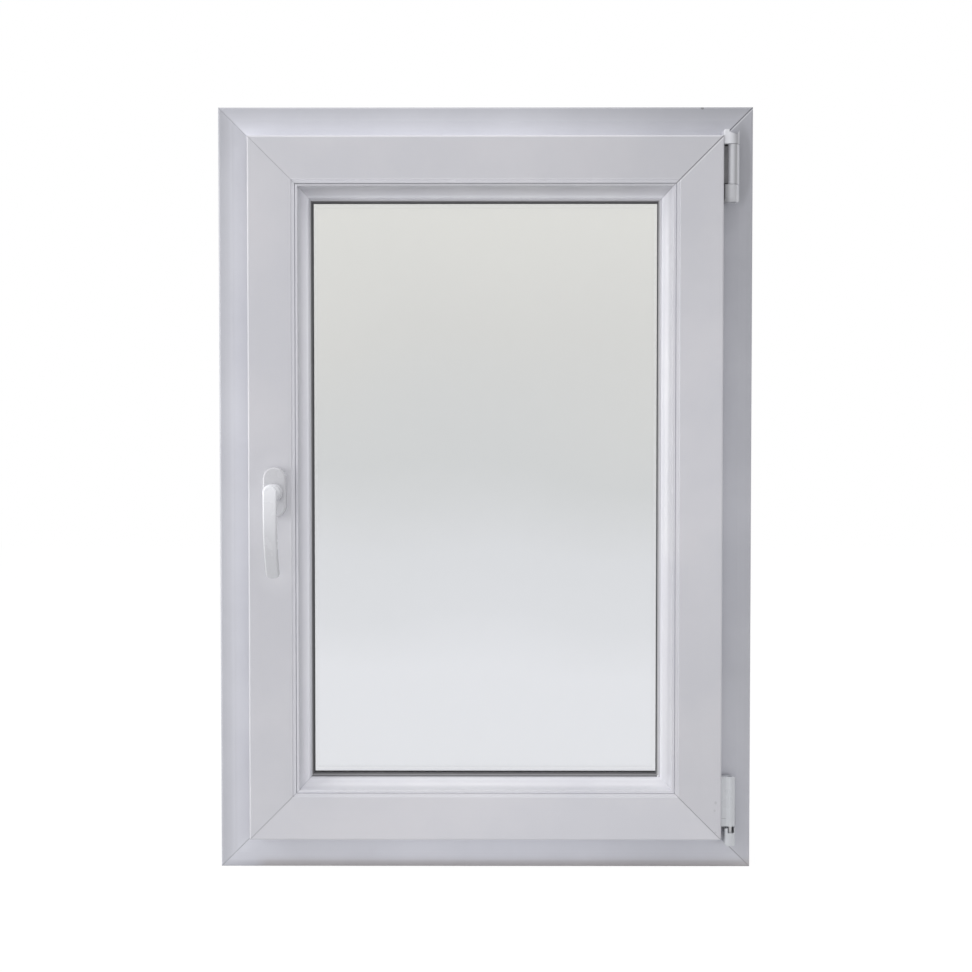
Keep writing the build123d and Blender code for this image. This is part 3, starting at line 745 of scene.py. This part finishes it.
# Seals and gaskets aren't listed: all of them are of seal rubber
finishes = {
    "frame_sill": framePlastic, "frame_head": framePlastic,
    "frame_left_jamb": framePlastic, "frame_right_jamb": framePlastic,
    "sash_bottom_rail": sashPlastic, "sash_top_rail": sashPlastic,
    "sash_left_stile": sashPlastic, "sash_right_stile": sashPlastic,
    "bead_bottom": beadPlastic, "bead_top": beadPlastic,
    "bead_left": beadPlastic, "bead_right": beadPlastic,
    "inner_pane": windowGlass, "outer_pane": windowGlass,
    "spacer_bar": zincSteel,
    "handle_rosette": rosetteLacquer, "handle_lever": handleLacquer, "handle_spindle": zincSteel,
    "upper_hinge_barrel": barrelLacquer, "upper_hinge_top_cap": topCapPlastic,
    "upper_hinge_bottom_cap": capPlastic, "upper_hinge_pin": zincSteel,
    # dark steel arm, partly painted shade of the gap beside the barrel
    "upper_hinge_arm": darkSteelAndShade,
    "lower_hinge_knuckle": knuckleLacquer, "lower_hinge_bracket": knuckleLacquer,
    "lower_hinge_pin": zincSteel,
    "drain_cap_left": drainPlastic, "drain_cap_right": drainPlastic,
}


def dress(node, material):
    mesh = nodes[node].data
    mesh.materials.clear()
    mesh.materials.append(material)


for node in nodes:
    dress(node, finishes.get(node, sealRubber))
print("pieces dressed")


# Two rows of small holes along the spacer bar's face, between the panes, drawn as dark discs:
# their dark is painted shade
perforationSettings = {
    "Pitch": 0.005, "Hole Radius": 0.0005, "Hole Depth": 0.00012,
    "barHeight": 0.007,      # from the bar's back to the face between the panes
    "rowGap": 0.007, "cornerGap": 0.012, "holeSides": 8,
}
perforationSizes = ("Pitch", "Hole Radius", "Hole Depth")


def makePerforationTree(settings, material):
    tree = newTree("spacerPerforations", "GeometryNodeTree")
    addSocket(tree, "Geometry", "NodeSocketGeometry", "INPUT")
    for name in perforationSizes:
        addSocket(tree, name, "NodeSocketFloat", "INPUT", settings[name])
    addSocket(tree, "Geometry", "NodeSocketGeometry", "OUTPUT")
    w = Wiring(tree)
    given = w.node("NodeGroupInput")
    result = w.node("NodeGroupOutput")
    path = w.node("GeometryNodeMeshToCurve")
    w.link(given.outputs["Geometry"], path.inputs["Mesh"])
    steps = w.node("GeometryNodeResampleCurve", mode="LENGTH")
    w.link(path.outputs["Curve"], steps.inputs["Curve"])
    w.link(given.outputs["Pitch"], steps.inputs["Length"])
    hole = w.node("GeometryNodeMeshCylinder")
    hole.inputs["Vertices"].default_value = settings["holeSides"]
    w.link(given.outputs["Hole Radius"], hole.inputs["Radius"])
    w.link(given.outputs["Hole Depth"], hole.inputs["Depth"])
    facing = w.node("ShaderNodeVectorMath", operation="CROSS_PRODUCT")
    w.link(w.node("GeometryNodeInputTangent").outputs[0], facing.inputs[0])
    facing.inputs[1].default_value = (0, 1, 0)
    turn = w.node("FunctionNodeAlignRotationToVector", axis="Z")
    w.link(facing.outputs[0], turn.inputs["Vector"])
    place = w.node("GeometryNodeInstanceOnPoints")
    w.link(steps.outputs["Curve"], place.inputs["Points"])
    w.link(hole.outputs["Mesh"], place.inputs["Instance"])
    w.link(turn.outputs[0], place.inputs["Rotation"])
    whole = w.node("GeometryNodeRealizeInstances")
    w.link(place.outputs["Instances"], whole.inputs["Geometry"])
    finish = w.node("GeometryNodeSetMaterial")
    finish.inputs["Material"].default_value = material
    w.link(whole.outputs["Geometry"], finish.inputs["Geometry"])
    w.link(finish.outputs["Geometry"], result.inputs["Geometry"])
    return tree


def applyTree(name, mesh, tree, values):
    source = bpy.data.objects.new(name + "Path", mesh)
    scene.collection.objects.link(source)
    modifier = source.modifiers.new("make", "NODES")
    modifier.node_group = tree
    for item in tree.interface.items_tree:
        if item.item_type == "SOCKET" and item.in_out == "INPUT" and item.name in values:
            modifier[item.identifier] = values[item.name]
    bpy.context.view_layer.update()
    evaluated = source.evaluated_get(bpy.context.evaluated_depsgraph_get())
    made = bpy.data.meshes.new_from_object(evaluated)
    source.modifiers.remove(modifier)
    bpy.data.objects.remove(source)
    made.name = name
    piece = bpy.data.objects.new(name, made)
    scene.collection.objects.link(piece)
    return piece


def makePerforations(settings):
    low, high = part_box("spacer_bar")
    inward, gap = settings["barHeight"], settings["cornerGap"]
    left, right = low.x + inward, high.x - inward
    foot, head = low.z + inward, high.z - inward
    middle = (low.y + high.y) / 2
    rows = (
        ((left, foot + gap), (left, head - gap)), ((right, foot + gap), (right, head - gap)),
        ((left + gap, foot), (right - gap, foot)), ((left + gap, head), (right - gap, head)),
    )
    points, edges = [], []
    for depth in (middle - settings["rowGap"] / 2, middle + settings["rowGap"] / 2):
        for start, end in rows:
            points += [(start[0], depth, start[1]), (end[0], depth, end[1])]
            edges.append((len(points) - 2, len(points) - 1))
    path = bpy.data.meshes.new("perforationPath")
    path.from_pydata(points, edges, [])
    # the holes' dark colour is painted shade
    tree = makePerforationTree(settings, darkSteelAndShade)
    sizes = {name: settings[name] for name in perforationSizes}
    holes = applyTree("spacerPerforations", path, tree, sizes)
    print("spacer perforations:", len(holes.data.polygons), "faces")
    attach(holes, "window")


# Near-black pad of the lower hinge on the frame: painted shade, seen as the dark gap behind the
# pin
gapShadePadSettings = {
    "thickness": 0.0012, "inset": 0.0004, "corner": 0.0005,
    "aboveBracketFoot": 0.014, "behindKnuckle": 0.006,
}


def makeGapShadePad(settings):
    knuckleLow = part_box("lower_hinge_knuckle")[0]
    bracketLow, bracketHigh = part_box("lower_hinge_bracket")
    low = Vector((
        bracketLow.x + settings["inset"],
        roomFace - settings["thickness"],
        bracketLow.z + settings["aboveBracketFoot"],
    ))
    high = Vector((
        bracketHigh.x - settings["inset"], roomFace, knuckleLow.z + settings["behindKnuckle"],
    ))
    body = bmesh.new()
    bmesh.ops.create_cube(body, size=1.0)
    for vertex in body.verts:
        vertex.co = Vector([
            low[axis] if vertex.co[axis] < 0 else high[axis] for axis in range(3)
        ])
    bmesh.ops.bevel(
        body, geom=list(body.edges), offset=settings["corner"], segments=3, affect="EDGES",
    )
    bmesh.ops.recalc_face_normals(body, faces=list(body.faces))
    mesh = bpy.data.meshes.new("hingeGapShadePad")
    body.to_mesh(mesh)
    body.free()
    mesh.materials.append(gapShadeBlack)
    pad = bpy.data.objects.new("hingeGapShadePad", mesh)
    scene.collection.objects.link(pad)
    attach(pad, "window")


makePerforations(perforationSettings)
makeGapShadePad(gapShadePadSettings)
print("small pieces added")


# Studio: pale floor, white surroundings and soft lamps
studioSettings = {
    "floorSize": 12.0,
    "floorWhite": 0.9,      # share of plain white that the camera sees, the rest is lit floor
    "floorGlow": 0.06,      # and how far that white is raised
    "worldStrength": 0.55,
    "lamps": {
        # degrees to the right of the window's normal, degrees up, distance, width and height,
        # watts, shows in gloss
        "leftSoftbox": (-76, 2, 2.6, (1.0, 1.8), 41.5, True),
        "topSoftbox": (-8, 76, 2.6, (1.8, 1.0), 26, True),
        "leftFloorStrip": (-48, -13, 1.7, (1.2, 0.2), 1.0, False),
        "rightFloorStrip": (40, -13, 1.7, (1.2, 0.2), 2.9, False),
    },
}


def makeWorld(settings):
    world = bpy.data.worlds.new("studio")
    scene.world = world
    world.use_nodes = True
    world.node_tree.nodes.clear()
    w = Wiring(world.node_tree)
    output = w.node("ShaderNodeOutputWorld")
    lit = w.node("ShaderNodeBackground")
    lit.inputs["Color"].default_value = (0.98, 0.98, 1.0, 1)
    lit.inputs["Strength"].default_value = settings["worldStrength"]
    seen = w.node("ShaderNodeBackground")
    seen.inputs["Color"].default_value = (1, 1, 1, 1)
    seen.inputs["Strength"].default_value = 1.0
    rays = w.node("ShaderNodeLightPath").outputs
    white = w.math("MAXIMUM", rays["Is Camera Ray"], rays["Is Transmission Ray"])
    white = w.math("MAXIMUM", white, rays["Is Glossy Ray"])
    mix = w.node("ShaderNodeMixShader")
    w.link(white, mix.inputs[0])
    w.link(lit.outputs[0], mix.inputs[1])
    w.link(seen.outputs[0], mix.inputs[2])
    w.link(mix.outputs[0], output.inputs["Surface"])


def makeFloor(settings):
    half = settings["floorSize"] / 2
    mesh = bpy.data.meshes.new("studioFloor")
    around = ((-half, -half), (half, -half), (half, half), (-half, half))
    mesh.from_pydata([(x, y, floorLevel) for x, y in around], [], [(0, 1, 2, 3)])
    floor = bpy.data.objects.new("studioFloor", mesh)
    scene.collection.objects.link(floor)
    material, w, shader = startMaterial("paleFloor")[:3]
    shader.inputs["Base Color"].default_value = (0.8, 0.8, 0.8, 1)
    shader.inputs["Roughness"].default_value = 0.9
    output = next(n for n in material.node_tree.nodes if n.type == "OUTPUT_MATERIAL")
    glow = w.node("ShaderNodeEmission")
    glow.inputs["Color"].default_value = (1, 1, 1, 1)
    rays = w.node("ShaderNodeLightPath").outputs
    throughGlass = w.math("MAXIMUM", rays["Is Transmission Ray"], rays["Is Glossy Ray"])
    seen = rays["Is Camera Ray"]
    w.link(w.plus(1.0, w.times(seen, settings["floorGlow"])), glow.inputs["Strength"])
    white = w.math("MAXIMUM", w.times(seen, settings["floorWhite"]), throughGlass)
    mix = w.node("ShaderNodeMixShader")
    w.link(white, mix.inputs[0])
    w.link(shader.outputs[0], mix.inputs[1])
    w.link(glow.outputs[0], mix.inputs[2])
    w.link(mix.outputs[0], output.inputs["Surface"])
    mesh.materials.append(material)


def makeLamp(name, bearing, rise, distance, size, power, inGloss):
    target = Vector((0, 0, halfHeight))
    turn, lift = math.radians(bearing), math.radians(rise)
    level = math.cos(lift)
    aim = Vector((math.sin(turn) * level, -math.cos(turn) * level, math.sin(lift)))
    data = bpy.data.lights.new(name, "AREA")
    data.shape = "RECTANGLE"
    data.size, data.size_y = size
    data.energy = power
    lamp = bpy.data.objects.new(name, data)
    lamp.location = target + aim * distance
    lamp.rotation_mode = "QUATERNION"
    lamp.rotation_quaternion = (-aim).to_track_quat("-Z", "Y")
    lamp.visible_camera = False
    lamp.visible_transmission = False
    lamp.visible_glossy = inGloss
    scene.collection.objects.link(lamp)


makeWorld(studioSettings)
makeFloor(studioSettings)
for lampName, lampSettings in studioSettings["lamps"].items():
    makeLamp(lampName, *lampSettings)
print("studio lit")

scene.view_settings.view_transform = "Standard"
